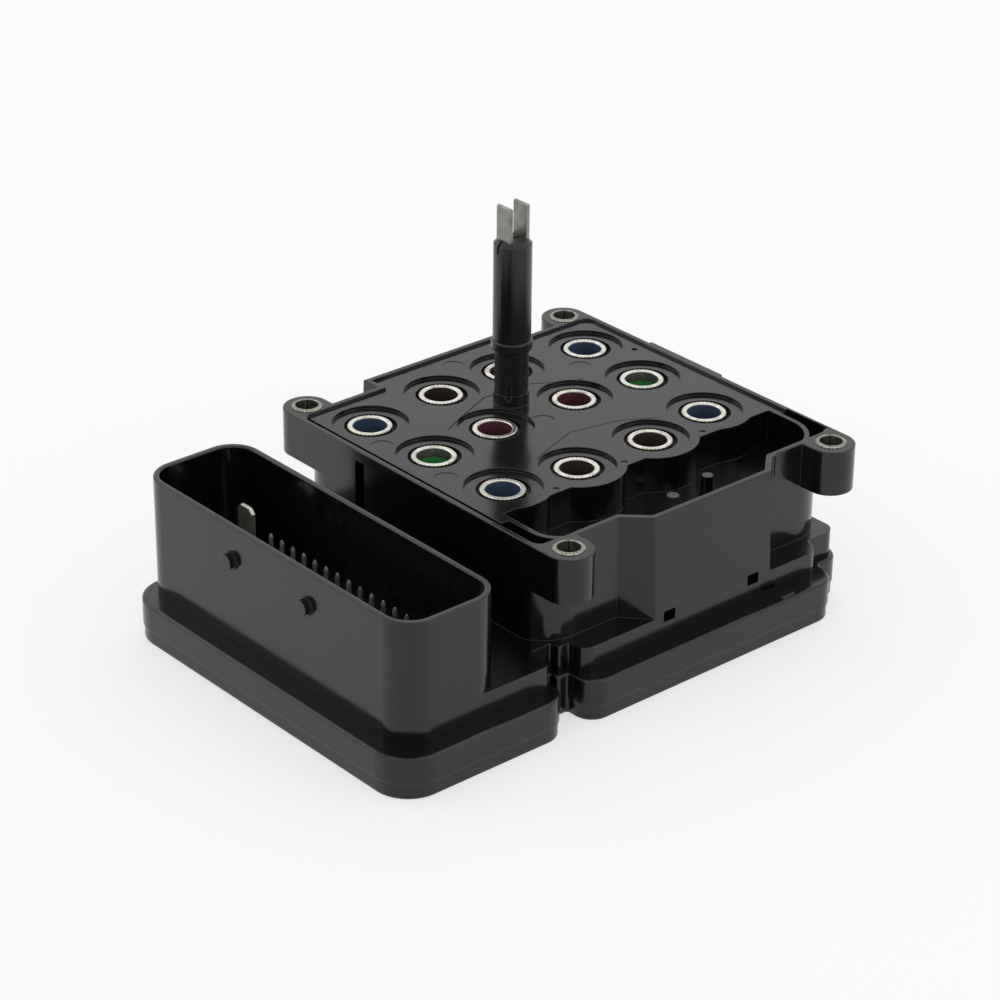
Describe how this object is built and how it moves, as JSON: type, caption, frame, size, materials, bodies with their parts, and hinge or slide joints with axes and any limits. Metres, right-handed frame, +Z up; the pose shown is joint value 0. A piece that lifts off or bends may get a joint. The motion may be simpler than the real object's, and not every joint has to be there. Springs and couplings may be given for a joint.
{
  "type": "abs brake control module",
  "caption": "Black moulded control module for an anti-lock brake unit: shrouded connector at one end, framed rows of valve coils with steel rings and a tall motor contact tower at the other",
  "frame": {"origin": "middle of the bounding box in plan, on the bottom face of the cover", "axes": "+Z points up from the cover out of the coils, the way the valve domes and the motor tower point; +Y runs from the connector end to the coil end; +X lies along the connector"},
  "size_m": [0.094, 0.1214, 0.0787],
  "materials": {
    "housing_plastic": "satin moulded black PBT with glass fibre",
    "cover_plastic": "satin moulded black PBT",
    "tower_plastic": "smooth moulded black PBT",
    "retainer_plastic": "moulded black polyamide",
    "seal_rubber": "black silicone rubber",
    "board": "green solder mask on glass epoxy",
    "zinc_steel": "zinc plated rolled steel",
    "yoke_steel": "zinc plated turned steel",
    "tinned_brass": "tin plated brass",
    "copper": "enamelled copper wire",
    "spring_steel": "bare spring steel",
    "bobbin_blue": "moulded blue polyamide",
    "bobbin_green": "moulded green polyamide",
    "bobbin_red": "moulded dark red polyamide",
    "bobbin_dark": "moulded dark brown polyamide"
  },
  "bodies": {
    "module": {"housing": "housing_plastic", "cover": "cover_plastic", "cover_seal": "seal_rubber", "circuit_board": "board", "coil_retainer": "retainer_plastic", "compression_limiters": "zinc_steel", "motor_tower": "tower_plastic", "tower_seal": "seal_rubber", "motor_blades": "tinned_brass", "power_blades": "tinned_brass", "signal_pins": "tinned_brass"},
    "coil_1": {"coil_yoke_1": "yoke_steel", "coil_bobbin_1": "bobbin_blue", "coil_winding_1": "copper", "coil_spring_1": "spring_steel"},
    "coil_2": {"coil_yoke_2": "yoke_steel", "coil_bobbin_2": "bobbin_green", "coil_winding_2": "copper", "coil_spring_2": "spring_steel"},
    "coil_3": {"coil_yoke_3": "yoke_steel", "coil_bobbin_3": "bobbin_blue", "coil_winding_3": "copper", "coil_spring_3": "spring_steel"},
    "coil_4": {"coil_yoke_4": "yoke_steel", "coil_bobbin_4": "bobbin_dark", "coil_winding_4": "copper", "coil_spring_4": "spring_steel"},
    "coil_5": {"coil_yoke_5": "yoke_steel", "coil_bobbin_5": "bobbin_red", "coil_winding_5": "copper", "coil_spring_5": "spring_steel"},
    "coil_6": {"coil_yoke_6": "yoke_steel", "coil_bobbin_6": "bobbin_dark", "coil_winding_6": "copper", "coil_spring_6": "spring_steel"},
    "coil_7": {"coil_yoke_7": "yoke_steel", "coil_bobbin_7": "bobbin_dark", "coil_winding_7": "copper", "coil_spring_7": "spring_steel"},
    "coil_8": {"coil_yoke_8": "yoke_steel", "coil_bobbin_8": "bobbin_red", "coil_winding_8": "copper", "coil_spring_8": "spring_steel"},
    "coil_9": {"coil_yoke_9": "yoke_steel", "coil_bobbin_9": "bobbin_dark", "coil_winding_9": "copper", "coil_spring_9": "spring_steel"},
    "coil_10": {"coil_yoke_10": "yoke_steel", "coil_bobbin_10": "bobbin_blue", "coil_winding_10": "copper", "coil_spring_10": "spring_steel"},
    "coil_11": {"coil_yoke_11": "yoke_steel", "coil_bobbin_11": "bobbin_green", "coil_winding_11": "copper", "coil_spring_11": "spring_steel"},
    "coil_12": {"coil_yoke_12": "yoke_steel", "coil_bobbin_12": "bobbin_blue", "coil_winding_12": "copper", "coil_spring_12": "spring_steel"}
  },
  "joints": [
    {"name": "coil_float_1", "type": "slide", "parent": "module", "child": "coil_1", "axis": [0, 0, 1], "range_m": [-0.0005, 0], "stiffness_N_per_m": 4000, "deforming": ["coil_spring_1"]},
    {"name": "coil_float_2", "type": "slide", "parent": "module", "child": "coil_2", "axis": [0, 0, 1], "range_m": [-0.0005, 0], "stiffness_N_per_m": 4000, "deforming": ["coil_spring_2"]},
    {"name": "coil_float_3", "type": "slide", "parent": "module", "child": "coil_3", "axis": [0, 0, 1], "range_m": [-0.0005, 0], "stiffness_N_per_m": 4000, "deforming": ["coil_spring_3"]},
    {"name": "coil_float_4", "type": "slide", "parent": "module", "child": "coil_4", "axis": [0, 0, 1], "range_m": [-0.0005, 0], "stiffness_N_per_m": 4000, "deforming": ["coil_spring_4"]},
    {"name": "coil_float_5", "type": "slide", "parent": "module", "child": "coil_5", "axis": [0, 0, 1], "range_m": [-0.0005, 0], "stiffness_N_per_m": 4000, "deforming": ["coil_spring_5"]},
    {"name": "coil_float_6", "type": "slide", "parent": "module", "child": "coil_6", "axis": [0, 0, 1], "range_m": [-0.0005, 0], "stiffness_N_per_m": 4000, "deforming": ["coil_spring_6"]},
    {"name": "coil_float_7", "type": "slide", "parent": "module", "child": "coil_7", "axis": [0, 0, 1], "range_m": [-0.0005, 0], "stiffness_N_per_m": 4000, "deforming": ["coil_spring_7"]},
    {"name": "coil_float_8", "type": "slide", "parent": "module", "child": "coil_8", "axis": [0, 0, 1], "range_m": [-0.0005, 0], "stiffness_N_per_m": 4000, "deforming": ["coil_spring_8"]},
    {"name": "coil_float_9", "type": "slide", "parent": "module", "child": "coil_9", "axis": [0, 0, 1], "range_m": [-0.0005, 0], "stiffness_N_per_m": 4000, "deforming": ["coil_spring_9"]},
    {"name": "coil_float_10", "type": "slide", "parent": "module", "child": "coil_10", "axis": [0, 0, 1], "range_m": [-0.0005, 0], "stiffness_N_per_m": 4000, "deforming": ["coil_spring_10"]},
    {"name": "coil_float_11", "type": "slide", "parent": "module", "child": "coil_11", "axis": [0, 0, 1], "range_m": [-0.0005, 0], "stiffness_N_per_m": 4000, "deforming": ["coil_spring_11"]},
    {"name": "coil_float_12", "type": "slide", "parent": "module", "child": "coil_12", "axis": [0, 0, 1], "range_m": [-0.0005, 0], "stiffness_N_per_m": 4000, "deforming": ["coil_spring_12"]}
  ]
}
